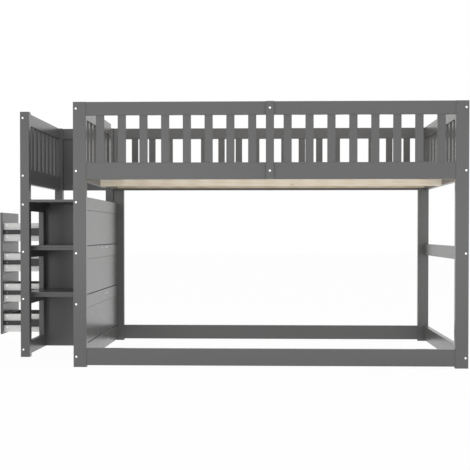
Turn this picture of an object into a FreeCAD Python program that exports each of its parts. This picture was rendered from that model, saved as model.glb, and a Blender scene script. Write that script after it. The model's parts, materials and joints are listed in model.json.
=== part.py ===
import FreeCAD, Part
import os

from FreeCAD import Vector

# Low bunk bed of painted boards, in millimetres. A guarded upper bunk stands over an open
# floor frame. A step tower with a landing, two steps and four drawers stands at its left end.
# While it is laid out, X runs right from the bed's left face, Y back from its front face and
# Z up from the floor. At the end everything moves so that the origin lies on the floor, under
# the middle of the whole object with its drawers open.

# Bed frame
bed_length = 1987.0
bed_width = 1436.5
bed_height = 1340.0
post_face = 66.0
post_depth = 36.0
rail_thickness = 24.0
end_rail_thickness = 29.0
long_rail_setback = 4.0
floor_gap = 9.0
floor_rail_height = 86.5
side_rail_bottom = 949.0
side_rail_height = 85.5
guard_rail_height = 67.0
end_rail_top = 868.0
end_rail_height = 68.0
end_rail_pitch = 258.0
end_rail_count = 3
end_panel_thickness = 18.0
end_panel_setback = 2.0
end_panel_gap = 3.0
edge_rounding = 2.0
rounding_limit_share = 0.3

# Guards
slat_width = 41.0
slat_thickness = 16.0
slat_post_gap = 50.0
slat_stile_gap = 48.0
slat_spacing = 110.0
end_slat_width = 47.0
end_slat_count = 11
left_slat_clearance = 20.0
entry_width = 289.0
entry_stile_width = 78.0
joint_board_width = 40.0
joint_board_thickness = 12.0
centre_stile_width = 41.0

# Bunk base
deck_rise = 37.0
ledger_depth = 22.0
ledger_height = 24.0
beam_width = 50.0
beam_height = 41.0
deck_slat_count = 13
deck_slat_width = 70.0
deck_slat_thickness = 16.0
deck_slat_end_gap = 62.0
deck_slat_clearance = 2.0

# Step tower
tower_width = 370.4
tower_depth = 1000.0
tower_post = 49.4
inner_post_width = 47.0
tower_rail_height = 66.0
tower_top_rail_bottom = 801.5
tower_floor_gap = 6.5
tower_floor_rail_height = 68.0
tower_stile_width = 70.0
tower_panel_thickness = 12.0
landing_top = 862.0
landing_thickness = 14.0
landing_setback = 2.0
step_post_gap = 62.2
step_thickness = 12.0
step_drops = (0.0, 2.0)
step_apron_height = 15.0
step_apron_thickness = 18.0
cleat_width = 20.0
cleat_height = 15.0
cleat_end_gap = 4.0

# Drawer bay and drawers
wall_thickness = 15.0
wall_floor_gap = 7.0
drawer_count = 4
drawer_opening = 247.0
front_thickness = 15.0
front_gap = 0.5
box_height = 108.0
box_length = 320.0
box_side_thickness = 12.0
box_bottom_thickness = 5.0
box_bottom_rise = 8.0
box_rise = 10.9

# Drawer slides, each a channel, a carriage and a runner of folded steel
slide_length = 300.0
slide_thickness = 13.0
slide_height = 48.0
slide_inset = 1.0
wall_setback = 1.0
slide_wall = 1.2
slide_play = 0.3
runner_height = 27.0
runner_depth = 7.0
ball_cage_thickness = 5.0
carriage_lip_depth = 8.6

# Fasteners
bolt_head_diameter = 10.8
bolt_head_height = 1.5
bolt_socket_width = 4.0
bolt_socket_depth = 1.0
bolt_shank_diameter = 6.0
bolt_bite = 44.0
bolt_hole_clearance = 0.3
nut_diameter = 10.0
nut_length = 16.0
nut_setback = 34.0
nut_clearance = 0.1
bolt_pair_offset = 20.0
stile_bolt_bite = 20.0
screw_head_diameter = 8.0
screw_head_height = 0.8
screw_shank_diameter = 4.0
screw_length = 40.0
screw_setbacks = (222.0, 96.0, 17.0)
screw_drops = (14.0, 24.5)
floor_screw_level = 46.0
floor_screw_inset = 5.0

# Levels and places that follow from these sizes
guard_rail_bottom = bed_height - guard_rail_height
side_rail_top = side_rail_bottom + side_rail_height
deck_height = side_rail_bottom + deck_rise
floor_rail_top = floor_gap + floor_rail_height
right_post_left = bed_length - post_face
back_post_front = bed_width - post_depth
inner_left = end_rail_thickness
inner_right = bed_length - end_rail_thickness
front_rail_front = long_rail_setback
back_rail_back = bed_width - long_rail_setback
inner_front = front_rail_front + rail_thickness
inner_back = back_rail_back - rail_thickness
tower_rail_front = bed_width - rail_thickness
bed_middle = bed_length / 2
bed_centre_line = bed_width / 2
slat_inset = (rail_thickness - slat_thickness) / 2
end_slat_inset = (end_rail_thickness - slat_thickness) / 2
entry_front = back_post_front - entry_width
tower_left = -tower_width
tower_front = bed_width - tower_depth
tower_inner_left = tower_left + end_rail_thickness
tower_post_right = tower_left + tower_post
tower_post_back = tower_front + tower_post
tower_back_post_front = bed_width - tower_post
inner_post_left = -inner_post_width
landing_bottom = landing_top - landing_thickness
tower_rail_inset = (end_rail_height - tower_rail_height) / 2
tower_floor_rail_top = tower_floor_gap + tower_floor_rail_height
wall_front = tower_back_post_front - wall_thickness
slide_bay_back = wall_front
drawer_width = 354.0
box_back = slide_bay_back - slide_thickness
box_front = box_back - drawer_width
divider_back = box_front - slide_thickness
divider_front = divider_back - wall_thickness
stile_front = divider_front - tower_stile_width
step_front = tower_post_back + step_post_gap


def level_centre(bottom, height):
    """Height of a rail's middle line."""
    return bottom + height / 2


def board(x0, x1, y0, y1, z0, z1):
    """A board between two corners, with its four long edges eased."""
    spans = (x1 - x0, y1 - y0, z1 - z0)
    box = Part.makeBox(spans[0], spans[1], spans[2], Vector(x0, y0, z0))
    run = spans.index(max(spans))
    long_edges = [edge for edge in box.Edges if abs(edge.tangentAt(edge.FirstParameter)[run]) > 0.5]
    rounding = min(edge_rounding, rounding_limit_share * min(spans))
    return box.makeFillet(rounding, long_edges)


def slat_starts(low, high, width, steps):
    """Low edges of evenly spaced slats, the first and last of which end at two given places."""
    return [low + (high - low - width) * number / steps for number in range(steps + 1)]


def guard_slat_starts(low, high):
    """Low edges of guard slats, at about the usual spacing."""
    return slat_starts(low, high, slat_width, round((high - low - slat_width) / slat_spacing))


def guard_slats_along_x(low, high, y0):
    """Upright guard slats of a long side."""
    return [
        board(x, x + slat_width, y0, y0 + slat_thickness, side_rail_top, guard_rail_bottom)
        for x in guard_slat_starts(low, high)
    ]


def guard_slats_along_y(starts, width, x0):
    """Upright guard slats of an end or of the tower, from their front edges."""
    return [
        board(x0, x0 + slat_thickness, y, y + width, side_rail_top, guard_rail_bottom)
        for y in starts
    ]


# Bolt axes: head face on the outside, direction into the wood, depth of the shank and the
# direction of the barrel nut's axis, or None where the bolt has no nut
bolts = []


def add_bolt(head_face, direction, through, nut_axis, bite=bolt_bite):
    """Note one bolt; through is the thickness it crosses before the piece that it holds."""
    bolts.append((head_face, direction, through, through + bite, nut_axis))


guard_rail_centre = level_centre(guard_rail_bottom, guard_rail_height)
side_rail_centre = level_centre(side_rail_bottom, side_rail_height)
floor_rail_centre = level_centre(floor_gap, floor_rail_height)
top_end_rail_bottom = end_rail_top - end_rail_height
end_rail_bottoms = [top_end_rail_bottom - number * end_rail_pitch for number in range(end_rail_count)]
end_rail_centres = [level_centre(bottom, end_rail_height) for bottom in end_rail_bottoms]
cross_rail_bottom = end_rail_bottoms[1]
step_rail_bottoms = [bottom + tower_rail_inset for bottom in end_rail_bottoms[1:]]
tower_rail_centres = [
    level_centre(tower_top_rail_bottom, tower_rail_height),
    level_centre(step_rail_bottoms[0], tower_rail_height),
    level_centre(step_rail_bottoms[1], tower_rail_height),
    level_centre(tower_floor_gap, tower_floor_rail_height),
]
rail_middle = rail_thickness / 2
end_rail_middle = end_rail_thickness / 2
backward = Vector(0, 1, 0)
forward = Vector(0, -1, 0)
rightward = Vector(1, 0, 0)
leftward = Vector(-1, 0, 0)


def bolt_end_rails():
    """Bolts through the bed posts into the ends of the end rails."""
    left_levels = [guard_rail_centre, side_rail_centre, floor_rail_centre] + end_rail_centres
    right_levels = [guard_rail_centre, side_rail_centre, floor_rail_centre, end_rail_centres[1]]
    for x, levels, nut_axis in (
        (end_rail_middle, left_levels, leftward),
        (bed_length - end_rail_middle, right_levels, rightward),
    ):
        for z in levels:
            add_bolt(Vector(x, 0, z), backward, post_depth, nut_axis)
            open_entry = x < bed_middle and z == guard_rail_centre
            if not open_entry:
                add_bolt(Vector(x, bed_width, z), forward, post_depth, nut_axis)


def bolt_side_rails():
    """Pairs of bolts through the bed posts into the ends of the long rails."""
    for z in (guard_rail_centre, side_rail_centre, floor_rail_centre):
        for offset in (-bolt_pair_offset, bolt_pair_offset):
            for y in (front_rail_front + rail_middle, back_rail_back - rail_middle):
                add_bolt(Vector(0, y, z + offset), rightward, post_face, backward)
                add_bolt(Vector(bed_length, y, z + offset), leftward, post_face, backward)


def bolt_tower():
    """Bolts through the tower's left posts into its side rails."""
    x = tower_left + end_rail_middle
    levels = [guard_rail_centre, side_rail_centre] + tower_rail_centres
    for z in levels:
        add_bolt(Vector(x, tower_front, z), backward, tower_post, leftward)
    for z in (guard_rail_centre, side_rail_centre, tower_rail_centres[0], tower_rail_centres[-1]):
        add_bolt(Vector(x, bed_width, z), forward, tower_post, leftward)


def bolt_joints_and_beam():
    """Bolts of the middle joint boards, and those that carry the centre beam."""
    for z in (guard_rail_centre, side_rail_centre):
        front_face = Vector(bed_middle, front_rail_front - joint_board_thickness, z)
        back_face = Vector(bed_middle, back_rail_back + joint_board_thickness, z)
        add_bolt(front_face, backward, joint_board_thickness, None, stile_bolt_bite)
        add_bolt(back_face, forward, joint_board_thickness, None, stile_bolt_bite)
    beam_level = deck_height - beam_height / 2
    add_bolt(Vector(0, bed_centre_line, beam_level), rightward, end_rail_thickness, None)
    add_bolt(Vector(bed_length, bed_centre_line, beam_level), leftward, end_rail_thickness, None)


bolt_end_rails()
bolt_side_rails()
bolt_tower()
bolt_joints_and_beam()


def hexagon_socket(centre, direction):
    """Cutter for the key socket in a bolt's head."""
    across = direction.cross(Vector(0, 0, 1))
    corners = []
    for number in range(6):
        turn = FreeCAD.Rotation(direction, 60 * number)
        corners.append(centre + turn.multVec(across) * (bolt_socket_width / 2))
    outline = Part.Face(Part.makePolygon(corners + corners[:1]))
    return outline.extrude(direction * bolt_socket_depth)


def bolt_solid(head_face, direction, depth):
    """A bolt with a flat round head on the surface and its shank in the wood."""
    top = head_face - direction * bolt_head_height
    head = Part.makeCylinder(bolt_head_diameter / 2, bolt_head_height, top, direction)
    shank = Part.makeCylinder(bolt_shank_diameter / 2, depth, head_face, direction)
    return head.fuse(shank).removeSplitter().cut(hexagon_socket(top, direction))


def nut_centre(head_face, direction, through):
    """Middle of the barrel nut that a bolt screws into."""
    return head_face + direction * (through + nut_setback)


def nut_solid(head_face, direction, through, depth, nut_axis):
    """A barrel nut across the bolt, with the bolt's hole through it."""
    start = nut_centre(head_face, direction, through) - nut_axis * (nut_length / 2)
    barrel = Part.makeCylinder(nut_diameter / 2, nut_length, start, nut_axis)
    hole_radius = bolt_shank_diameter / 2 + nut_clearance
    return barrel.cut(Part.makeCylinder(hole_radius, depth, head_face, direction))


def bolt_cutters():
    """Holes for every bolt, recesses where a piece covers a head, and bores of the barrel nuts."""
    cutters = []
    for head_face, direction, through, depth, nut_axis in bolts:
        radius = bolt_shank_diameter / 2 + bolt_hole_clearance
        cutters.append(Part.makeCylinder(radius, depth + bolt_hole_clearance, head_face, direction))
        recess_depth = bolt_head_height + bolt_hole_clearance
        recess_radius = bolt_head_diameter / 2 + bolt_hole_clearance
        recess_start = head_face - direction * recess_depth
        cutters.append(Part.makeCylinder(recess_radius, recess_depth, recess_start, direction))
        if nut_axis:
            bore_radius = nut_diameter / 2 + nut_clearance
            start = nut_centre(head_face, direction, through) - nut_axis * (nut_length / 2 + nut_clearance)
            bore_length = nut_length / 2 + nut_clearance + end_rail_middle
            cutters.append(Part.makeCylinder(bore_radius, bore_length, start, nut_axis))
    return cutters


def screw_places():
    """Head places of the screws that hold the tower to the bed's left end rails."""
    upper = end_rail_bottoms[1] + end_rail_height - screw_drops[0]
    lower = end_rail_bottoms[2] + end_rail_height - screw_drops[1]
    places = [(divider_front - setback, upper) for setback in screw_setbacks]
    places += [(divider_front - setback, lower) for setback in screw_setbacks[1:]]
    places.append((divider_front + floor_screw_inset, floor_screw_level))
    return [Vector(inner_left, y, z) for y, z in places]


def screw_solid(place):
    """A flat-headed wood screw that runs left from an inner face."""
    head_start = place + rightward * screw_head_height
    head = Part.makeCylinder(screw_head_diameter / 2, screw_head_height, head_start, leftward)
    shank = Part.makeCylinder(screw_shank_diameter / 2, screw_length, place, leftward)
    return head.fuse(shank)


def screw_cutters():
    """Pilot holes of the tower screws."""
    radius = screw_shank_diameter / 2 + nut_clearance
    depth = screw_length + nut_clearance
    return [Part.makeCylinder(radius, depth, place, leftward) for place in screw_places()]


wood_cutters = bolt_cutters() + screw_cutters()
nodes = {}


def add_wood(name, *solids):
    """Keep a node of wooden pieces, drilled wherever a bolt, nut or screw runs."""
    drilled = []
    for solid in solids:
        hits = [cutter for cutter in wood_cutters if cutter.BoundBox.intersect(solid.BoundBox)]
        hits = [cutter for cutter in hits if cutter.common(solid).Volume > 0]
        drilled.append(solid.cut(hits) if hits else solid)
    nodes[name] = drilled


# Bed posts
def bed_post(x0, y0):
    """One of the four posts that carry the bed."""
    return board(x0, x0 + post_face, y0, y0 + post_depth, 0, bed_height)


add_wood("front_left_post", bed_post(0, 0))
add_wood("front_right_post", bed_post(right_post_left, 0))
add_wood("back_left_post", bed_post(0, back_post_front))
add_wood("back_right_post", bed_post(right_post_left, back_post_front))

# Long sides: rails in two halves that meet a centre stile, with guard slats between them
stile_left = bed_middle - centre_stile_width / 2
stile_right = bed_middle + centre_stile_width / 2


def half_rails(y0, z0, height):
    """The two halves of a long rail, either side of the centre stile."""
    y1 = y0 + rail_thickness
    return (
        board(post_face, stile_left, y0, y1, z0, z0 + height),
        board(stile_right, right_post_left, y0, y1, z0, z0 + height),
    )


for side, rail_front in (("front", front_rail_front), ("back", inner_back)):
    add_wood(side + "_guard_rails", *half_rails(rail_front, guard_rail_bottom, guard_rail_height))
    add_wood(side + "_side_rails", *half_rails(rail_front, side_rail_bottom, side_rail_height))
    slat_front = rail_front + slat_inset
    add_wood(
        side + "_guard_slats",
        *guard_slats_along_x(post_face + slat_post_gap, stile_left - slat_stile_gap, slat_front),
        *guard_slats_along_x(stile_right + slat_stile_gap, right_post_left - slat_post_gap, slat_front),
    )

add_wood(
    "centre_stiles",
    board(stile_left, stile_right, front_rail_front, inner_front, side_rail_bottom, bed_height),
    board(stile_left, stile_right, inner_back, back_rail_back, side_rail_bottom, bed_height),
)
joint_left = bed_middle - joint_board_width / 2
joint_right = bed_middle + joint_board_width / 2
add_wood(
    "joint_boards",
    *[
        board(joint_left, joint_right, y, y + joint_board_thickness, side_rail_bottom, bed_height)
        for y in (front_rail_front - joint_board_thickness, back_rail_back)
    ],
)
add_wood(
    "floor_side_rails",
    board(post_face, right_post_left, front_rail_front, inner_front, floor_gap, floor_rail_top),
    board(post_face, right_post_left, inner_back, back_rail_back, floor_gap, floor_rail_top),
)


# Ends
def end_rail(x0, z0, height, y1=back_post_front):
    """A rail across one end of the bed, between its posts."""
    return board(x0, x0 + end_rail_thickness, post_depth, y1, z0, z0 + height)


add_wood(
    "end_floor_rails",
    end_rail(0, floor_gap, floor_rail_height),
    end_rail(inner_right, floor_gap, floor_rail_height),
)
add_wood(
    "end_bunk_rails",
    end_rail(0, side_rail_bottom, side_rail_height),
    end_rail(inner_right, side_rail_bottom, side_rail_height),
)
add_wood("right_guard_rail", end_rail(inner_right, guard_rail_bottom, guard_rail_height))
end_slat_gap = (back_post_front - post_depth - end_slat_count * end_slat_width) / (end_slat_count + 1)
end_slat_starts = [
    post_depth + end_slat_gap + (end_slat_width + end_slat_gap) * number for number in range(end_slat_count)
]
right_slat_left = inner_right + end_slat_inset
add_wood("right_guard_slats", *guard_slats_along_y(end_slat_starts, end_slat_width, right_slat_left))
add_wood("right_cross_rail", end_rail(inner_right, cross_rail_bottom, end_rail_height))
add_wood("left_guard_rail", end_rail(0, guard_rail_bottom, guard_rail_height, entry_front))
entry_stile_front = entry_front - entry_stile_width
last_slat_back = entry_stile_front - left_slat_clearance
left_slat_starts = [start for start in end_slat_starts if start + end_slat_width < last_slat_back]
add_wood("left_guard_slats", *guard_slats_along_y(left_slat_starts, end_slat_width, end_slat_inset))
add_wood(
    "left_guard_stile",
    board(0, end_rail_thickness, entry_stile_front, entry_front, side_rail_top, guard_rail_bottom),
)
add_wood("left_end_rails", *[end_rail(0, bottom, end_rail_height) for bottom in end_rail_bottoms])
panel_right = inner_left - end_panel_setback
panel_tops = end_rail_bottoms
panel_ledges = [bottom + end_rail_height for bottom in end_rail_bottoms[1:]] + [floor_rail_top]
add_wood(
    "left_end_panels",
    *[
        board(
            panel_right - end_panel_thickness,
            panel_right,
            post_depth,
            back_post_front,
            ledge + end_panel_gap,
            top,
        )
        for top, ledge in zip(panel_tops, panel_ledges)
    ],
)

# Bunk base of plain pine: two ledgers and a beam carry loose slats
ledger_bottom = deck_height - ledger_height
ledger_length = inner_right - inner_left
bed_posts = [bed_post(x, y) for x in (0, right_post_left) for y in (0, back_post_front)]


def ledger(y0):
    """A ledger along one side rail, cut round the bed posts."""
    whole = Part.makeBox(ledger_length, ledger_depth, ledger_height, Vector(inner_left, y0, ledger_bottom))
    return whole.cut(bed_posts)


add_wood("side_ledgers", ledger(inner_front), ledger(inner_back - ledger_depth))
beam_front = bed_centre_line - beam_width / 2
beam_bottom = deck_height - beam_height
add_wood(
    "centre_beam",
    board(inner_left, inner_right, beam_front, beam_front + beam_width, beam_bottom, deck_height),
)
deck_front = inner_front + deck_slat_clearance
deck_back = inner_back - deck_slat_clearance
deck_starts = slat_starts(
    inner_left + deck_slat_end_gap, inner_right - deck_slat_end_gap, deck_slat_width, deck_slat_count - 1
)
add_wood(
    "bunk_slats",
    *[
        board(x, x + deck_slat_width, deck_front, deck_back, deck_height, deck_height + deck_slat_thickness)
        for x in deck_starts
    ],
)


# Step tower
def tower_corner_post(x0, x1, y0):
    """One of the tower's posts."""
    return board(x0, x1, y0, y0 + tower_post, 0, bed_height)


front_tower_post = tower_corner_post(tower_left, tower_post_right, tower_front)
back_tower_post = tower_corner_post(tower_left, tower_post_right, tower_back_post_front)
inner_tower_post = tower_corner_post(inner_post_left, 0, tower_back_post_front)
add_wood("tower_front_post", front_tower_post)
add_wood("tower_back_post", back_tower_post)
add_wood("tower_inner_post", inner_tower_post)


def tower_side_rail(z0, height, y1=tower_back_post_front):
    """A rail along the tower's left side, behind its front post."""
    return board(tower_left, tower_inner_left, tower_post_back, y1, z0, z0 + height)


long_side_rails = [
    tower_side_rail(tower_top_rail_bottom, tower_rail_height),
    tower_side_rail(tower_floor_gap, tower_floor_rail_height),
]
short_side_rails = [tower_side_rail(bottom, tower_rail_height, stile_front) for bottom in step_rail_bottoms]
add_wood("tower_side_rails", *long_side_rails, *short_side_rails)
add_wood(
    "tower_stile",
    board(
        tower_left, tower_inner_left, stile_front, divider_front, tower_floor_rail_top, tower_top_rail_bottom
    ),
)
add_wood(
    "tower_guard_rails",
    tower_side_rail(guard_rail_bottom, guard_rail_height),
    tower_side_rail(side_rail_bottom, side_rail_height),
)
tower_slat_starts = guard_slat_starts(
    tower_post_back + slat_post_gap, tower_back_post_front - slat_post_gap
)
add_wood(
    "tower_guard_slats",
    *guard_slats_along_y(tower_slat_starts, slat_width, tower_left + end_slat_inset),
)


def tower_back_rail(z0, height):
    """A rail across the tower's back, between its two back posts."""
    return board(tower_post_right, inner_post_left, tower_rail_front, bed_width, z0, z0 + height)


add_wood(
    "tower_back_rails",
    tower_back_rail(guard_rail_bottom, guard_rail_height),
    tower_back_rail(tower_top_rail_bottom, tower_rail_height),
    tower_back_rail(tower_floor_gap, tower_floor_rail_height),
)
back_panel_front = tower_rail_front + (rail_thickness - tower_panel_thickness) / 2
add_wood(
    "tower_back_panel",
    board(
        tower_post_right,
        inner_post_left,
        back_panel_front,
        back_panel_front + tower_panel_thickness,
        side_rail_bottom,
        guard_rail_bottom,
    ),
)

# Landing, cut round the posts that it passes
landing_outline = board(
    tower_inner_left, 0, tower_front + landing_setback, tower_rail_front, landing_bottom, landing_top
)
add_wood("landing_board", landing_outline.cut([front_tower_post, back_tower_post, inner_tower_post]))

# Steps, each a board with an apron under its front edge, on cleats at both ends
step_tops = [
    bottom + end_rail_height - drop for bottom, drop in zip(end_rail_bottoms[1:], step_drops)
]
step_solids = []
cleat_solids = []
for top in step_tops:
    board_bottom = top - step_thickness
    apron_bottom = board_bottom - step_apron_height
    apron_back = step_front + step_apron_thickness
    step_solids.append(board(tower_inner_left, 0, step_front, divider_front, board_bottom, top))
    step_solids.append(board(tower_inner_left, 0, step_front, apron_back, apron_bottom, board_bottom))


def cleat_pair(y0, y1, top):
    """Cleats along the tower's left rail and the bed's end rail, under a board."""
    bottom = top - cleat_height
    return [
        board(tower_inner_left, tower_inner_left + cleat_width, y0, y1, bottom, top),
        board(-cleat_width, 0, y0, y1, bottom, top),
    ]


step_cleat_front = step_front + step_apron_thickness + cleat_end_gap
cleat_back = divider_front - cleat_end_gap
for top in step_tops:
    cleat_solids += cleat_pair(step_cleat_front, cleat_back, top - step_thickness)
cleat_solids += cleat_pair(tower_post_back + cleat_end_gap, cleat_back, landing_bottom)
add_wood("steps", *step_solids)
add_wood("support_cleats", *cleat_solids)

# Walls of the drawer bay, which also carry the landing: square boards that reach in behind the
# stile and are notched round the tower's side rails
closed_front_back = tower_left + front_thickness
wall_left = closed_front_back + wall_setback
wall_height = landing_bottom - wall_floor_gap


def bay_wall(y0):
    """One wall of the drawer bay, notched round the rails that it meets."""
    whole = Part.makeBox(-wall_left, wall_thickness, wall_height, Vector(wall_left, y0, wall_floor_gap))
    return whole.cut(long_side_rails)


add_wood("drawer_bay_walls", bay_wall(divider_front), bay_wall(wall_front))

# Drawers, numbered from the top
bay_height = tower_top_rail_bottom - tower_floor_rail_top
front_height = (bay_height - (drawer_count + 1) * front_gap) / drawer_count
drawer_pitch = front_height + front_gap
front_low = divider_front + front_gap
front_high = tower_back_post_front - front_gap
open_front_back = closed_front_back - drawer_opening
rest_left = open_front_back - front_thickness
channel_start = closed_front_back + slide_inset
carriage_start = channel_start - drawer_opening / 2
runner_start = closed_front_back - drawer_opening
half_slide = slide_height / 2


def slide_member(x0, wall_y, inward, pieces, level):
    """Straight pieces of one slide member, given as spans away from a wall and about its middle."""
    solids = []
    for near, far, low, high in pieces:
        y0, y1 = sorted((wall_y + inward * near, wall_y + inward * far))
        size = (slide_length, y1 - y0, high - low)
        solids.append(Part.makeBox(size[0], size[1], size[2], Vector(x0, y0, level + low)))
    joined = solids[0]
    for solid in solids[1:]:
        joined = joined.fuse(solid)
    return joined.removeSplitter()


# Sections of the slide members: spans out from the wall, then heights about the slide's middle
channel_lip_depth = slide_wall + slide_play + carriage_lip_depth
channel_section = [
    (0, slide_wall, -half_slide, half_slide),
    (0, channel_lip_depth, half_slide - slide_wall, half_slide),
    (0, channel_lip_depth, -half_slide, slide_wall - half_slide),
]
carriage_back = slide_wall + slide_play
carriage_lip_end = carriage_back + carriage_lip_depth
carriage_half = half_slide - slide_wall - slide_play
cage_start = carriage_lip_end - ball_cage_thickness
cage_inner = runner_height / 2 + slide_play
carriage_section = [
    (carriage_back, carriage_back + slide_wall, -carriage_half, carriage_half),
    (carriage_back, carriage_lip_end, carriage_half - slide_wall, carriage_half),
    (carriage_back, carriage_lip_end, -carriage_half, slide_wall - carriage_half),
    (cage_start, carriage_lip_end, cage_inner, carriage_half),
    (cage_start, carriage_lip_end, -carriage_half, -cage_inner),
]
runner_half = runner_height / 2
runner_lip_start = slide_thickness - runner_depth
runner_section = [
    (slide_thickness - slide_wall, slide_thickness, -runner_half, runner_half),
    (runner_lip_start, slide_thickness, runner_half - slide_wall, runner_half),
    (runner_lip_start, slide_thickness, -runner_half, slide_wall - runner_half),
]


def slide_pair(x0, section, level):
    """The near and far member of a drawer's two slides."""
    return [
        slide_member(x0, divider_back, 1, section, level),
        slide_member(x0, slide_bay_back, -1, section, level),
    ]


def drawer_box(bottom):
    """Sides, back, inner front and bottom of one drawer's box, as it stands open."""
    x0 = open_front_back
    x1 = x0 + box_length
    top = bottom + box_height
    side = box_side_thickness
    inner_low = box_front + side
    inner_high = box_back - side
    floor = bottom + box_bottom_rise
    return [
        board(x0, x1, box_front, inner_low, bottom, top),
        board(x0, x1, inner_high, box_back, bottom, top),
        board(x0, x0 + side, inner_low, inner_high, bottom, top),
        board(x1 - side, x1, inner_low, inner_high, bottom, top),
        board(x0 + side, x1 - side, inner_low, inner_high, floor, floor + box_bottom_thickness),
    ]


channels = []
for number in range(drawer_count):
    front_top = tower_top_rail_bottom - front_gap - number * drawer_pitch
    front_bottom = front_top - front_height
    box_bottom = front_bottom + box_rise
    slide_level = level_centre(box_bottom, box_height)
    label = f"drawer_{number + 1}"
    front_board = board(rest_left, open_front_back, front_low, front_high, front_bottom, front_top)
    add_wood(label + "_front", front_board)
    add_wood(label + "_box", *drawer_box(box_bottom))
    nodes[label + "_runners"] = slide_pair(runner_start, runner_section, slide_level)
    nodes[label + "_carriages"] = slide_pair(carriage_start, carriage_section, slide_level)
    channels += slide_pair(channel_start, channel_section, slide_level)
nodes["slide_channels"] = channels

# Fasteners
nodes["frame_bolts"] = [bolt_solid(face, way, depth) for face, way, through, depth, nut in bolts]
nodes["barrel_nuts"] = [
    nut_solid(face, way, through, depth, nut) for face, way, through, depth, nut in bolts if nut
]
nodes["tower_screws"] = [screw_solid(place) for place in screw_places()]

# Move everything so that the origin lies under the middle of the whole object
rest_right = bed_length + bolt_head_height
origin_shift = Vector(-(rest_left + rest_right) / 2, -bed_centre_line, 0)

os.makedirs("parts", exist_ok=True)
for name, solids in nodes.items():
    group = Part.makeCompound(solids)
    group.translate(origin_shift)
    group.exportStep(f"parts/{name}.step")
print(len(nodes), "nodes,", sum(len(solids) for solids in nodes.values()), "solids")
print("origin shift", origin_shift.x, origin_shift.y)
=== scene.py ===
import json
import math

import bpy
from mathutils import Matrix, Vector

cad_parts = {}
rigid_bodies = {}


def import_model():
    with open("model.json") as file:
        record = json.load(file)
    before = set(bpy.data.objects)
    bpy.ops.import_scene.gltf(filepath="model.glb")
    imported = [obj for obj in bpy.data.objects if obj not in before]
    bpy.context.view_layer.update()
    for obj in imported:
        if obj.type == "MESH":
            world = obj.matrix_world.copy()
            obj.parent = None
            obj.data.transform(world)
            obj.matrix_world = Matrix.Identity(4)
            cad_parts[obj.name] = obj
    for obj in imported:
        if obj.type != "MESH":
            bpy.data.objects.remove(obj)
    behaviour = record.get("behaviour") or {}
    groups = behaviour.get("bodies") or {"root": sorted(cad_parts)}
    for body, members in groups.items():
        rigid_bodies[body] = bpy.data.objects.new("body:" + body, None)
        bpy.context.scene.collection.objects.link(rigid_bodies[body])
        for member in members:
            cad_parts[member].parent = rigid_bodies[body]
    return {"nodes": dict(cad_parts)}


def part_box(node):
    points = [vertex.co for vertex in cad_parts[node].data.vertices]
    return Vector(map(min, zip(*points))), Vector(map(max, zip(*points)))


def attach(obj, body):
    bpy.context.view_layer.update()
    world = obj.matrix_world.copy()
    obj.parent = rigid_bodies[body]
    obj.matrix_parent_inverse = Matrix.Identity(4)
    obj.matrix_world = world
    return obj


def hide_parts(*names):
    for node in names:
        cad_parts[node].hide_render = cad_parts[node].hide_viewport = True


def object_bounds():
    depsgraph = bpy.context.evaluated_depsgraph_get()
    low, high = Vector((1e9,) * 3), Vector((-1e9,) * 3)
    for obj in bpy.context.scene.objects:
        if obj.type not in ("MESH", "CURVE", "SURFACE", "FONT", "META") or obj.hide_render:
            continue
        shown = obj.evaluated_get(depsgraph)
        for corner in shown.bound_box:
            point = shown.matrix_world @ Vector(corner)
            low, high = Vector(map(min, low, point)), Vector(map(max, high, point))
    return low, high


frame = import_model()
cad_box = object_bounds()

MM = 0.001
NODES = frame["nodes"]


# Colours of the finishes, in sRGB
PAINT_LOW = "626262"
PAINT_HIGH = "676767"
PINE_EARLY = "faf0df"
PINE_LATE = "f3e4cc"
# Painted light: the beam's pine is lighter than the same pine elsewhere, standing for more light on it
BEAM_LIT_EARLY = "fff8ea"
BEAM_LIT_LATE = "fbefdb"
# Painted shade: the ledgers' pine is darker than the same pine elsewhere, for the shade they lie in
LEDGER_SHADED_EARLY = "d2c6b2"
LEDGER_SHADED_LATE = "c8b99f"
PINE_PORE = "e8d3b2"
PINE_KNOT = "9a6c45"
FOIL_LOW = "f8f8f6"
FOIL_HIGH = "fcfcfa"
# Painted shade: the grey that stands for the shade inside a drawer box
FOIL_PAINTED_SHADE = "8c8b88"
STEEL_COAT = "2e2e30"
STEEL_RUBBED = "5c5c60"

# Sizes of the patterns in the finishes: across and along the grain, or of one mark
FIBRE_WIDTH, FIBRE_LENGTH = 2.5 * MM, 90 * MM
BOARD_WIDTH, BOARD_LENGTH = 120 * MM, 700 * MM
RING_WIDTH, RING_LENGTH = 14 * MM, 420 * MM
PORE_WIDTH, PORE_LENGTH = 1.2 * MM, 45 * MM
KNOT_WIDTH, KNOT_LENGTH = 160 * MM, 330 * MM
ROLLING_WIDTH, ROLLING_LENGTH = 0.8 * MM, 60 * MM
PEEL_SIZE = 3 * MM
PATCH_SIZE = 60 * MM
TURNING_SIZE = 0.7 * MM
THREAD_SIZE = 1.6 * MM
PAINT_EDGE = 2.5 * MM
STEEL_EDGE = 0.6 * MM

# Depths of the same patterns
FIBRE_DEPTH = 0.15 * MM
PEEL_DEPTH = 0.1 * MM
PORE_DEPTH = 0.2 * MM
THREAD_DEPTH = 0.1 * MM
ROLLING_DEPTH = 0.05 * MM
TURNING_DEPTH = 0.05 * MM

PAINT_ROUGHNESS = 0.26

# The space between the sides of a drawer box, where painted shade greys the foil's colour
BOX_SIDE = 12 * MM
BOX_OVERRUN = 0.1 * MM
BOX_LOW, BOX_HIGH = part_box("drawer_1_box")
BOX_MIDDLE = (BOX_LOW[1] + BOX_HIGH[1]) / 2
BOX_INNER_HALF = (BOX_HIGH[1] - BOX_LOW[1]) / 2 - BOX_SIDE + BOX_OVERRUN


# Finishes

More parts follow.
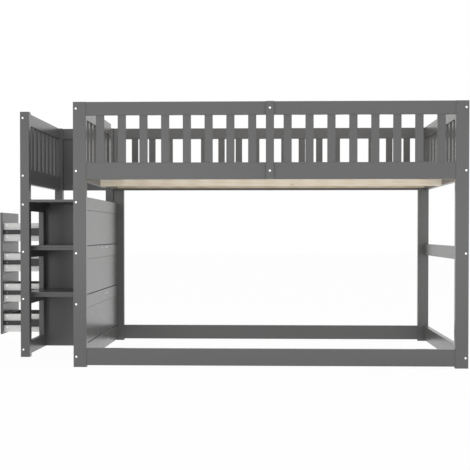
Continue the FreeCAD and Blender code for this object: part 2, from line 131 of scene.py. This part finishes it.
def colour(code):
    """Turns an sRGB hex colour into the linear values that Blender's sockets take."""
    shares = [int(code[start:start + 2], 16) / 255 for start in (0, 2, 4)]
    linear = [s / 12.92 if s <= 0.04045 else ((s + 0.055) / 1.055) ** 2.4 for s in shares]
    return (*linear, 1.0)


def add_node(tree, kind, inputs=None, **settings):
    """Adds a node with its settings, and fills each input with a value or another node's output."""
    node = tree.nodes.new(kind)
    for name, value in settings.items():
        setattr(node, name, value)
    for socket, value in (inputs or {}).items():
        if isinstance(value, bpy.types.NodeSocket):
            tree.links.new(value, node.inputs[socket])
        else:
            node.inputs[socket].default_value = value
    return node


def start_material(name):
    """A new material, with its tree, its surface shader and its piece's own coordinates."""
    material = bpy.data.materials.new(name)
    material.use_nodes = True
    tree = material.node_tree
    shader = tree.nodes["Principled BSDF"]
    place = add_node(tree, "ShaderNodeTexCoord").outputs["Object"]
    return material, tree, shader, place


def stretched(tree, place, grain, width, length):
    """Coordinates counted in fibre widths across the grain and fibre lengths along it."""
    scale = [1 / length if axis == grain else 1 / width for axis in "XYZ"]
    return add_node(tree, "ShaderNodeMapping", {"Vector": place, "Scale": scale}).outputs["Vector"]


def edge_share(tree, radius):
    """A value that is 0 on flat faces and rises to 1 on the eased edges."""
    rounded = add_node(tree, "ShaderNodeBevel", {"Radius": radius}, samples=4).outputs["Normal"]
    flat = add_node(tree, "ShaderNodeNewGeometry").outputs["Normal"]
    facing = add_node(tree, "ShaderNodeVectorMath", {0: rounded, 1: flat}, operation="DOT_PRODUCT")
    return add_node(
        tree, "ShaderNodeMapRange", {"Value": facing.outputs["Value"], "From Min": 1.0, "From Max": 0.8}
    ).outputs["Result"]


def painted_pine(grain):
    """Semi-gloss grey lacquer sprayed on sanded pine: nearly even, with the fibres just telling
    through, a faint orange peel in the gloss, and paler edges where the coat is thin."""
    material, tree, shader, place = start_material(f"grey_lacquer_on_pine_grain_{grain}")
    fibre_place = stretched(tree, place, grain, FIBRE_WIDTH, FIBRE_LENGTH)
    fibres = add_node(
        tree, "ShaderNodeTexNoise", {"Vector": fibre_place, "Scale": 1.0, "Detail": 5.0, "Roughness": 0.6}
    ).outputs["Fac"]
    board_place = stretched(tree, place, grain, BOARD_WIDTH, BOARD_LENGTH)
    boards = add_node(
        tree, "ShaderNodeTexNoise", {"Vector": board_place, "Scale": 1.0, "Detail": 1.0}
    ).outputs["Fac"]
    peel = add_node(
        tree, "ShaderNodeTexNoise", {"Vector": place, "Scale": 1 / PEEL_SIZE, "Detail": 2.0}
    ).outputs["Fac"]
    fibre_tone = add_node(tree, "ShaderNodeMix", {"Factor": fibres}, data_type="RGBA")
    link_colours(tree, fibre_tone, PAINT_LOW, PAINT_HIGH)
    tone = fibre_tone.outputs[2]
    board_tone = add_node(tree, "ShaderNodeMapRange", {"Value": boards, "To Min": 0.95, "To Max": 1.05})
    shaded = add_node(tree, "ShaderNodeVectorMath", {0: tone, "Scale": board_tone.outputs["Result"]},
                      operation="SCALE").outputs["Vector"]
    edges = edge_share(tree, PAINT_EDGE)
    worn = add_node(tree, "ShaderNodeMapRange", {"Value": edges, "To Min": 1.0, "To Max": 1.12})
    finished = add_node(tree, "ShaderNodeVectorMath", {0: shaded, "Scale": worn.outputs["Result"]},
                        operation="SCALE").outputs["Vector"]
    tree.links.new(finished, shader.inputs["Base Color"])
    gloss = add_node(tree, "ShaderNodeMapRange", {"Value": fibres, "To Min": PAINT_ROUGHNESS - 0.04,
                                                  "To Max": PAINT_ROUGHNESS + 0.04})
    tree.links.new(gloss.outputs["Result"], shader.inputs["Roughness"])
    relief = add_node(tree, "ShaderNodeBump", {"Height": fibres, "Strength": 0.12, "Distance": FIBRE_DEPTH})
    skin = add_node(tree, "ShaderNodeBump", {
        "Height": peel, "Strength": 0.05, "Distance": PEEL_DEPTH, "Normal": relief.outputs["Normal"]
    })
    tree.links.new(skin.outputs["Normal"], shader.inputs["Normal"])
    shader.inputs["IOR"].default_value = 1.43
    return material


def link_colours(tree, mix, low, high):
    """Sets the two colours of a colour mix, whose sockets share their names with other kinds."""
    mix.inputs[6].default_value = colour(low)
    mix.inputs[7].default_value = colour(high)


def bare_pine(name, grain, early, late):
    """Planed, unpainted pine: cream early wood with browner growth lines, fine pores along the
    grain, a few small knots, and a dry satin surface."""
    material, tree, shader, place = start_material(name)
    ring_place = stretched(tree, place, grain, RING_WIDTH, RING_LENGTH)
    rings = add_node(tree, "ShaderNodeTexWave", {
        "Vector": ring_place, "Scale": 0.5, "Distortion": 6.0, "Detail": 3.0, "Detail Scale": 1.2
    }, wave_type="BANDS", bands_direction="DIAGONAL").outputs["Fac"]
    pore_place = stretched(tree, place, grain, PORE_WIDTH, PORE_LENGTH)
    pores = add_node(
        tree, "ShaderNodeTexNoise", {"Vector": pore_place, "Scale": 1.0, "Detail": 6.0, "Roughness": 0.65}
    ).outputs["Fac"]
    knot_place = stretched(tree, place, grain, KNOT_WIDTH, KNOT_LENGTH)
    knots = add_node(tree, "ShaderNodeTexVoronoi", {"Vector": knot_place, "Scale": 1.0}).outputs["Distance"]
    lines = add_node(tree, "ShaderNodeMix", {"Factor": rings}, data_type="RGBA")
    link_colours(tree, lines, early, late)
    pore_share = add_node(tree, "ShaderNodeMapRange", {
        "Value": pores, "From Min": 0.35, "From Max": 0.75, "To Min": 0.0, "To Max": 0.35
    }).outputs["Result"]
    fine = add_node(tree, "ShaderNodeMix", {"Factor": pore_share, 6: lines.outputs[2]}, data_type="RGBA")
    fine.inputs[7].default_value = colour(PINE_PORE)
    knot_share = add_node(tree, "ShaderNodeMapRange", {
        "Value": knots, "From Min": 0.05, "From Max": 0.02, "To Min": 0.0, "To Max": 0.3
    }).outputs["Result"]
    knotted = add_node(tree, "ShaderNodeMix", {"Factor": knot_share, 6: fine.outputs[2]}, data_type="RGBA")
    knotted.inputs[7].default_value = colour(PINE_KNOT)
    tree.links.new(knotted.outputs[2], shader.inputs["Base Color"])
    relief = add_node(tree, "ShaderNodeBump", {"Height": pores, "Strength": 0.25, "Distance": PORE_DEPTH})
    tree.links.new(relief.outputs["Normal"], shader.inputs["Normal"])
    shader.inputs["Roughness"].default_value = 0.58
    return material


def drawer_foil():
    """Light warm-white foil pressed on board: an even colour under a very fine linen emboss, with
    a soft sheen and slightly dulled patches. Between a drawer's sides the colour is painted grey, as painted
    shade for the inside of the box."""
    material, tree, shader, place = start_material("warm_white_foil_on_board")
    # The emboss is drawn at 1.6 mm, coarser than the real thread, so that it shows.
    threads = add_node(tree, "ShaderNodeTexWave", {
        "Vector": place, "Scale": 1 / THREAD_SIZE / math.tau, "Distortion": 1.0, "Detail": 1.0
    }, bands_direction="Z").outputs["Fac"]
    patches = add_node(
        tree, "ShaderNodeTexNoise", {"Vector": place, "Scale": 1 / PATCH_SIZE, "Detail": 3.0}
    ).outputs["Fac"]
    tone = add_node(tree, "ShaderNodeMix", {"Factor": patches}, data_type="RGBA")
    link_colours(tree, tone, FOIL_LOW, FOIL_HIGH)
    across = add_node(tree, "ShaderNodeSeparateXYZ", {"Vector": place}).outputs["Y"]
    # Painted shade: between the box's sides the foil colour is swapped for the grey painted shade
    inside = add_node(
        tree, "ShaderNodeMath", {0: across, 1: BOX_MIDDLE, 2: BOX_INNER_HALF}, operation="COMPARE"
    ).outputs[0]
    foil_with_painted_shade = add_node(tree, "ShaderNodeMix", {"Factor": inside, 6: tone.outputs[2]}, data_type="RGBA")
    foil_with_painted_shade.inputs[7].default_value = colour(FOIL_PAINTED_SHADE)
    tree.links.new(foil_with_painted_shade.outputs[2], shader.inputs["Base Color"])
    gloss = add_node(tree, "ShaderNodeMapRange", {"Value": patches, "To Min": 0.38, "To Max": 0.5})
    tree.links.new(gloss.outputs["Result"], shader.inputs["Roughness"])
    relief = add_node(tree, "ShaderNodeBump", {"Height": threads, "Strength": 0.08, "Distance": THREAD_DEPTH})
    tree.links.new(relief.outputs["Normal"], shader.inputs["Normal"])
    return material


def black_steel():
    """Cold-rolled steel with a black electro-dip coat: satin, with long rolling marks and rubbed,
    slightly greyer edges."""
    material, tree, shader, place = start_material("black_coated_slide_steel")
    rolling_place = stretched(tree, place, "X", ROLLING_WIDTH, ROLLING_LENGTH)
    rolling = add_node(
        tree, "ShaderNodeTexNoise", {"Vector": rolling_place, "Scale": 1.0, "Detail": 3.0}
    ).outputs["Fac"]
    edges = edge_share(tree, STEEL_EDGE)
    tone = add_node(tree, "ShaderNodeMix", {"Factor": edges}, data_type="RGBA")
    link_colours(tree, tone, STEEL_COAT, STEEL_RUBBED)
    tree.links.new(tone.outputs[2], shader.inputs["Base Color"])
    gloss = add_node(tree, "ShaderNodeMapRange", {"Value": rolling, "To Min": 0.3, "To Max": 0.45})
    tree.links.new(gloss.outputs["Result"], shader.inputs["Roughness"])
    relief = add_node(tree, "ShaderNodeBump", {"Height": rolling, "Strength": 0.1, "Distance": ROLLING_DEPTH})
    tree.links.new(relief.outputs["Normal"], shader.inputs["Normal"])
    return material


def bright_zinc(name, code, roughness):
    """Zinc plate on turned steel: pale metal with fine turning marks and a soft bright sheen."""
    material, tree, shader, place = start_material(name)
    marks = add_node(
        tree, "ShaderNodeTexNoise", {"Vector": place, "Scale": 1 / TURNING_SIZE, "Detail": 4.0}
    ).outputs["Fac"]
    gloss = add_node(tree, "ShaderNodeMapRange", {"Value": marks, "To Min": roughness - 0.06,
                                                  "To Max": roughness + 0.08})
    tree.links.new(gloss.outputs["Result"], shader.inputs["Roughness"])
    relief = add_node(tree, "ShaderNodeBump", {"Height": marks, "Strength": 0.06, "Distance": TURNING_DEPTH})
    tree.links.new(relief.outputs["Normal"], shader.inputs["Normal"])
    shader.inputs["Base Color"].default_value = colour(code)
    shader.inputs["Metallic"].default_value = 1.0
    return material



paint = {grain: painted_pine(grain) for grain in "XYZ"}
# Painted light: a lighter copy of the pine for the beam, standing for the light that falls on it
lit_beam_pine = bare_pine("planed_pine_of_beam", "X", BEAM_LIT_EARLY, BEAM_LIT_LATE)
slat_pine = bare_pine("planed_pine_of_slats", "Y", PINE_EARLY, PINE_LATE)
# Painted shade: a darker copy of the pine for the ledgers, standing for the shade on them
shaded_ledger_pine = bare_pine("aged_pine_of_ledgers", "X", LEDGER_SHADED_EARLY, LEDGER_SHADED_LATE)
foil = drawer_foil()
slide_steel = black_steel()
bolt_zinc = bright_zinc("bright_zinc_on_bolts", "ffffff", 0.3)
screw_zinc = bright_zinc("pale_zinc_on_screws", "ececea", 0.38)
runner_zinc = bright_zinc("dull_zinc_on_runner_screws", "a8a8aa", 0.42)


# Which way the grain runs in each painted node
GRAIN_ALONG_X = (
    "front_guard_rails", "back_guard_rails", "front_side_rails", "back_side_rails",
    "floor_side_rails", "steps", "tower_back_rails",
)
GRAIN_ALONG_Y = (
    "end_floor_rails", "end_bunk_rails", "right_guard_rail", "right_cross_rail", "left_guard_rail",
    "left_end_rails", "left_end_panels", "tower_side_rails", "tower_guard_rails", "landing_board",
    "support_cleats", "drawer_1_front", "drawer_2_front", "drawer_3_front", "drawer_4_front",
)


def finish_of(name):
    """The material of a CAD node."""
    if name == "side_ledgers":
        return shaded_ledger_pine
    if name == "centre_beam":
        return lit_beam_pine
    if name == "bunk_slats":
        return slat_pine
    if name.endswith("_box"):
        return foil
    if name.endswith(("_runners", "_carriages")) or name == "slide_channels":
        return slide_steel
    if name in ("frame_bolts", "barrel_nuts", "tower_screws"):
        return bolt_zinc
    if name in GRAIN_ALONG_X:
        return paint["X"]
    if name in GRAIN_ALONG_Y:
        return paint["Y"]
    return paint["Z"]


for name, node in NODES.items():
    node.data.materials.clear()
    node.data.materials.append(finish_of(name))


# Small turned parts

def deselect():
    """Leaves nothing selected and no mesh open."""
    if bpy.context.object and bpy.context.object.mode == "EDIT":
        bpy.ops.object.mode_set(mode="OBJECT")
    bpy.ops.object.select_all(action="DESELECT")


def turned_part(name, rings, recess_sides, recess_radius, recess_depth, segments=32):
    """A turned part on the Z axis with a key recess in its top. The rings are radii and heights
    in millimetres, from the flat round the recess down to the tip."""
    deselect()
    top = rings[0][1] * MM
    bpy.ops.mesh.primitive_circle_add(
        vertices=recess_sides, radius=recess_radius * MM, location=(0, 0, top), enter_editmode=True
    )
    bpy.ops.mesh.extrude_region_move(TRANSFORM_OT_translate={"value": (0, 0, -recess_depth * MM)})
    bpy.ops.mesh.edge_face_add()
    bpy.ops.mesh.select_all(action="DESELECT")
    bpy.ops.mesh.primitive_circle_add(vertices=segments, radius=rings[0][0] * MM, location=(0, 0, top))
    for (inner, above), (outer, below) in zip(rings, rings[1:]):
        drop = (0, 0, (below - above) * MM)
        bpy.ops.mesh.extrude_region_move(TRANSFORM_OT_translate={"value": drop})
        bpy.ops.transform.resize(value=(outer / inner, outer / inner, 1), center_override=(0, 0, below * MM))
    bpy.ops.mesh.edge_face_add()
    bpy.ops.mesh.select_all(action="DESELECT")
    bpy.ops.mesh.select_non_manifold()
    bpy.ops.mesh.bridge_edge_loops()
    bpy.ops.mesh.select_all(action="SELECT")
    bpy.ops.mesh.normals_make_consistent(inside=False)
    bpy.ops.object.mode_set(mode="OBJECT")
    bpy.ops.object.transform_apply(location=True, rotation=False, scale=False)
    bpy.ops.object.shade_smooth_by_angle(angle=math.radians(35))
    part = bpy.context.object
    part.name = name
    return part


def solids_of(name):
    """The separate solids of a CAD node, each as a list of its points."""
    deselect()
    others = set(bpy.data.objects)
    copy = NODES[name].copy()
    copy.data = copy.data.copy()
    bpy.context.scene.collection.objects.link(copy)
    copy.select_set(True)
    bpy.context.view_layer.objects.active = copy
    bpy.ops.object.mode_set(mode="EDIT")
    bpy.ops.mesh.select_all(action="SELECT")
    bpy.ops.mesh.remove_doubles(threshold=0.01 * MM)
    bpy.ops.mesh.separate(type="LOOSE")
    bpy.ops.object.mode_set(mode="OBJECT")
    parts = sorted(set(bpy.data.objects) - others, key=lambda part: part.name)
    solids = [[vertex.co.copy() for vertex in part.data.vertices] for part in parts]
    for part in parts:
        bpy.data.objects.remove(part)
    return solids


def corners(points):
    """Low and high corner of some points."""
    low = Vector([min(point[axis] for point in points) for axis in range(3)])
    high = Vector([max(point[axis] for point in points) for axis in range(3)])
    return low, high


def facing(place, way):
    """Placement of a part whose foot stands at a place and whose top looks a given way."""
    return Matrix.Translation(place) @ Vector(way).to_track_quat("Z", "Y").to_matrix().to_4x4()


TIP_START = -1 * MM


def set_out(master, name, body, material, placements, tip_drops=None):
    """Copies a part to each placement, lengthens each copy's tip by its drop, and joins the
    copies into one piece on a body."""
    copies = []
    for number, placement in enumerate(placements):
        copy = master.copy()
        copy.data = master.data.copy()
        if tip_drops:
            for vertex in copy.data.vertices:
                if vertex.co.z < TIP_START:
                    vertex.co.z -= tip_drops[number]
        copy.data.transform(placement)
        bpy.context.scene.collection.objects.link(copy)
        copies.append(copy)
    deselect()
    for copy in copies:
        copy.select_set(True)
    bpy.context.view_layer.objects.active = copies[0]
    bpy.ops.object.join()
    piece = bpy.context.object
    piece.name = name
    piece.data.materials.clear()
    piece.data.materials.append(material)
    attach(piece, body)
    return piece


# Frame bolts: low domed heads with hexagon sockets, each with its shank
BOLT_TIP = 20.0
BOLT_RINGS = (
    (2.6, 1.5), (4.6, 1.42), (5.1, 1.2), (5.35, 0.7), (5.4, 0.2), (5.2, 0.0),
    (3.0, 0.0), (3.0, 1.0 - BOLT_TIP), (2.2, -BOLT_TIP),
)
HEAD_HEIGHT = 1.5 * MM
END_REACH = 0.1 * MM
bolt = turned_part("bolt", BOLT_RINGS, recess_sides=6, recess_radius=1.9, recess_depth=0.5)
bolt_places = []
bolt_drops = []
for points in solids_of("frame_bolts"):
    low, high = corners(points)
    spans = high - low
    run = max(range(3), key=lambda axis: spans[axis])
    middle = (low + high) / 2
    widths = []
    for end in (low[run], high[run]):
        near = [(point - middle) for point in points if abs(point[run] - end) < END_REACH]
        widths.append(max(max(abs(gap[axis]) for axis in range(3) if axis != run) for gap in near))
    head_is_low = widths[0] > widths[1]
    way = Vector((0, 0, 0))
    way[run] = -1 if head_is_low else 1
    seat = middle.copy()
    seat[run] = low[run] + HEAD_HEIGHT if head_is_low else high[run] - HEAD_HEIGHT
    bolt_places.append(facing(seat, way))
    bolt_drops.append(spans[run] - HEAD_HEIGHT - BOLT_TIP * MM)
bolts = set_out(bolt, "dressed_frame_bolts", "bed", bolt_zinc, bolt_places, bolt_drops)
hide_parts("frame_bolts")
bpy.data.objects.remove(bolt)

# Screws that hold the slide runners to the drawer sides, and bright caps over the sides' joints
SCREW_RINGS = (
    (1.7, 1.5), (2.6, 1.3), (3.2, 0.8), (3.4, 0.3), (3.3, 0.0),
    (1.8, 0.0), (1.8, -3.0), (1.0, -4.0),
)
CAP_RINGS = ((2.0, 0.7), (4.2, 0.66), (4.6, 0.5), (4.8, 0.2), (4.7, 0.0), (1.5, -0.2))
RUNNER_WEB = 1.2 * MM
SCREW_STEPS = (20 * MM, 150 * MM, 262 * MM)
CAP_SETBACKS = (17 * MM, 12 * MM, 27 * MM)
pan_screw = turned_part("pan_screw", SCREW_RINGS, recess_sides=4, recess_radius=1.3, recess_depth=0.8)
joint_cap = turned_part("joint_cap", CAP_RINGS, recess_sides=16, recess_radius=1.2, recess_depth=0.2)
for number in range(1, 5):
    body = f"drawer_{number}"
    screw_places = []
    for points in solids_of(f"drawer_{number}_runners"):
        low, high = corners(points)
        near_side = low[1] < BOX_MIDDLE
        web = high[1] - RUNNER_WEB if near_side else low[1] + RUNNER_WEB
        level = (low[2] + high[2]) / 2
        way = (0, -1, 0) if near_side else (0, 1, 0)
        screw_places += [facing((low[0] + step, web, level), way) for step in SCREW_STEPS]
    set_out(pan_screw, f"{body}_runner_screws", body, runner_zinc, screw_places)
    low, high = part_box(f"drawer_{number}_box")
    along, below_top, above_bottom = CAP_SETBACKS
    cap_places = [
        facing((x, y, z), (0, side, 0))
        for x in (low[0] + along, high[0] - along)
        for y, side in ((low[1], -1), (high[1], 1))
        for z in (high[2] - below_top, low[2] + above_bottom)
    ]
    set_out(joint_cap, f"{body}_joint_caps", body, bolt_zinc, cap_places)
bpy.data.objects.remove(pan_screw)
bpy.data.objects.remove(joint_cap)

# Countersunk screws at the ends of the bed slats, and in the tower's side
SUNK_RINGS = (
    (2.3, 0.25), (3.6, 0.2), (3.9, 0.0), (3.7, -0.2), (2.0, -1.2), (2.0, -12.0), (1.0, -14.0),
)
TOWER_RINGS = (
    (2.3, 0.8), (3.2, 0.72), (3.8, 0.45), (4.0, 0.1), (3.9, 0.0),
    (2.0, -0.2), (2.0, -36.0), (1.0, -40.0),
)
TOWER_HEAD_HEIGHT = 0.8 * MM
SLAT_END = 10 * MM
sunk_screw = turned_part("sunk_screw", SUNK_RINGS, recess_sides=4, recess_radius=1.6, recess_depth=0.9)
slat_screw_places = []
for points in solids_of("bunk_slats"):
    low, high = corners(points)
    for y in (low[1] + SLAT_END, high[1] - SLAT_END):
        slat_screw_places.append(facing(((low[0] + high[0]) / 2, y, high[2]), (0, 0, 1)))
set_out(sunk_screw, "slat_screws", "bed", screw_zinc, slat_screw_places)
tower_screw = turned_part("tower_screw", TOWER_RINGS, recess_sides=4, recess_radius=1.6, recess_depth=0.6)
tower_screw_places = []
for points in solids_of("tower_screws"):
    low, high = corners(points)
    seat = Vector((high[0] - TOWER_HEAD_HEIGHT, (low[1] + high[1]) / 2, (low[2] + high[2]) / 2))
    tower_screw_places.append(facing(seat, (1, 0, 0)))
tower_screws = set_out(
    tower_screw, "dressed_tower_screws", "bed", bolt_zinc, tower_screw_places
)
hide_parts("tower_screws")
bpy.data.objects.remove(sunk_screw)
bpy.data.objects.remove(tower_screw)


# Floor and light

def floor_material():
    """Matt white floor of a lit studio cove: the camera sees it white with the bed's faint shadow,
    and it glows enough to fill the low faces from below."""
    material, tree, shader, place = start_material("white_studio_floor")
    specks = add_node(
        tree, "ShaderNodeTexNoise", {"Vector": place, "Scale": FLOOR_SPECKS, "Detail": 2.0}
    ).outputs["Fac"]
    gloss = add_node(tree, "ShaderNodeMapRange", {"Value": specks, "To Min": 0.85, "To Max": 0.95})
    tree.links.new(gloss.outputs["Result"], shader.inputs["Roughness"])
    shader.inputs["Base Color"].default_value = colour("f2f2f2")
    shader.inputs["Specular IOR Level"].default_value = 0.0
    path = add_node(tree, "ShaderNodeLightPath")
    camera_ray, glossy_ray = path.outputs["Is Camera Ray"], path.outputs["Is Glossy Ray"]
    diffuse_ray = path.outputs["Is Diffuse Ray"]
    seen = add_node(tree, "ShaderNodeMath", {0: camera_ray, 1: glossy_ray}, operation="MAXIMUM")
    share = add_node(tree, "ShaderNodeMath", {0: seen.outputs[0], 1: FLOOR_GLOW}, operation="MULTIPLY")
    fill = add_node(tree, "ShaderNodeMath", {0: diffuse_ray, 1: FLOOR_FILL}, operation="MULTIPLY")
    share = add_node(tree, "ShaderNodeMath", {0: share.outputs[0], 1: fill.outputs[0]}, operation="MAXIMUM")
    glow = add_node(tree, "ShaderNodeEmission", {"Color": colour("ffffff"), "Strength": 1.0})
    surfaces = {0: share.outputs[0], 1: shader.outputs[0], 2: glow.outputs[0]}
    mixed = add_node(tree, "ShaderNodeMixShader", surfaces)
    tree.links.new(mixed.outputs[0], tree.nodes["Material Output"].inputs["Surface"])
    return material


FLOOR_GLOW = 0.97
FLOOR_SPECKS = 40.0
FLOOR_FILL = 0.67
WORLD_LIGHT = 0.58
FLOOR_SIZE = 60.0

bpy.ops.object.select_all(action="DESELECT")
bpy.ops.mesh.primitive_plane_add(size=FLOOR_SIZE, location=(0, 0, cad_box[0][2]))
floor = bpy.context.object
floor.name = "studio_floor"
floor.data.materials.append(floor_material())

world = bpy.data.worlds.new("white_studio")
bpy.context.scene.world = world
world.use_nodes = True
sky = world.node_tree
background = sky.nodes["Background"]
background.inputs["Color"].default_value = colour("ffffff")
sky_path = add_node(sky, "ShaderNodeLightPath")
sky_seen = add_node(sky, "ShaderNodeMath", {
    0: sky_path.outputs["Is Camera Ray"], 1: sky_path.outputs["Is Glossy Ray"]
}, operation="MAXIMUM").outputs[0]
sky_seen = add_node(sky, "ShaderNodeMath", {
    0: sky_seen, 1: sky_path.outputs["Is Transmission Ray"]
}, operation="MAXIMUM").outputs[0]
sky_strength = add_node(
    sky, "ShaderNodeMapRange", {"Value": sky_seen, "To Min": WORLD_LIGHT, "To Max": 1.0}
)
sky.links.new(sky_strength.outputs["Result"], background.inputs["Strength"])


def soft_lamp(name, power, width, height, place, aim):
    """A wide, soft studio lamp at a place, turned towards a point."""
    data = bpy.data.lights.new(name, "AREA")
    data.shape = "RECTANGLE"
    data.energy = power
    data.size = width
    data.size_y = height
    lamp = bpy.data.objects.new(name, data)
    lamp.location = place
    lamp.rotation_euler = (Vector(aim) - Vector(place)).to_track_quat("-Z", "Y").to_euler()
    bpy.context.scene.collection.objects.link(lamp)


# Each lamp's name, power, width, height, place and the point it is turned towards
LAMPS = (
    ("front_softbox", 30.0, 6.0, 2.6, (0.3, -7.0, 1.6), (0.2, 0.0, 0.7)),
    ("low_fill", 12.0, 6.0, 0.8, (0.2, -5.0, 0.45), (0.2, 0.4, 0.9)),
    ("side_fill", 11.0, 3.0, 1.5, (-1.6, -5.6, 1.0), (-1.0, 0.2, 0.45)),
    ("right_fill", 6.0, 3.0, 1.5, (3.2, -4.6, 0.8), (-1.0, 0.2, 0.45)),
    ("top_softbox", 60.0, 4.0, 3.0, (0.0, -0.5, 5.0), (0.0, 0.0, 0.5)),
)
for lamp_settings in LAMPS:
    soft_lamp(*lamp_settings)
bpy.context.scene.view_settings.view_transform = "Standard"


# Camera, at the photograph's place
CAMERA_LENS = 83.370
CAMERA_SENSOR = 36.0
CAMERA_SHIFT = 0.043928
CAMERA_REACH = 200.0
CAMERA_PLACE = (0.318131, -6.188382, 0.678858)
CAMERA_DIP = 1.191
CAMERA_TURN = 1.94
camera_data = bpy.data.cameras.new("photo_camera")
camera_data.lens = CAMERA_LENS
camera_data.sensor_width = CAMERA_SENSOR
camera_data.shift_y = CAMERA_SHIFT
camera_data.clip_end = CAMERA_REACH
camera = bpy.data.objects.new("photo_camera", camera_data)
camera.location = CAMERA_PLACE
camera.rotation_euler = (math.radians(90 - CAMERA_DIP), 0.0, math.radians(CAMERA_TURN))
bpy.context.scene.collection.objects.link(camera)
bpy.context.scene.camera = camera
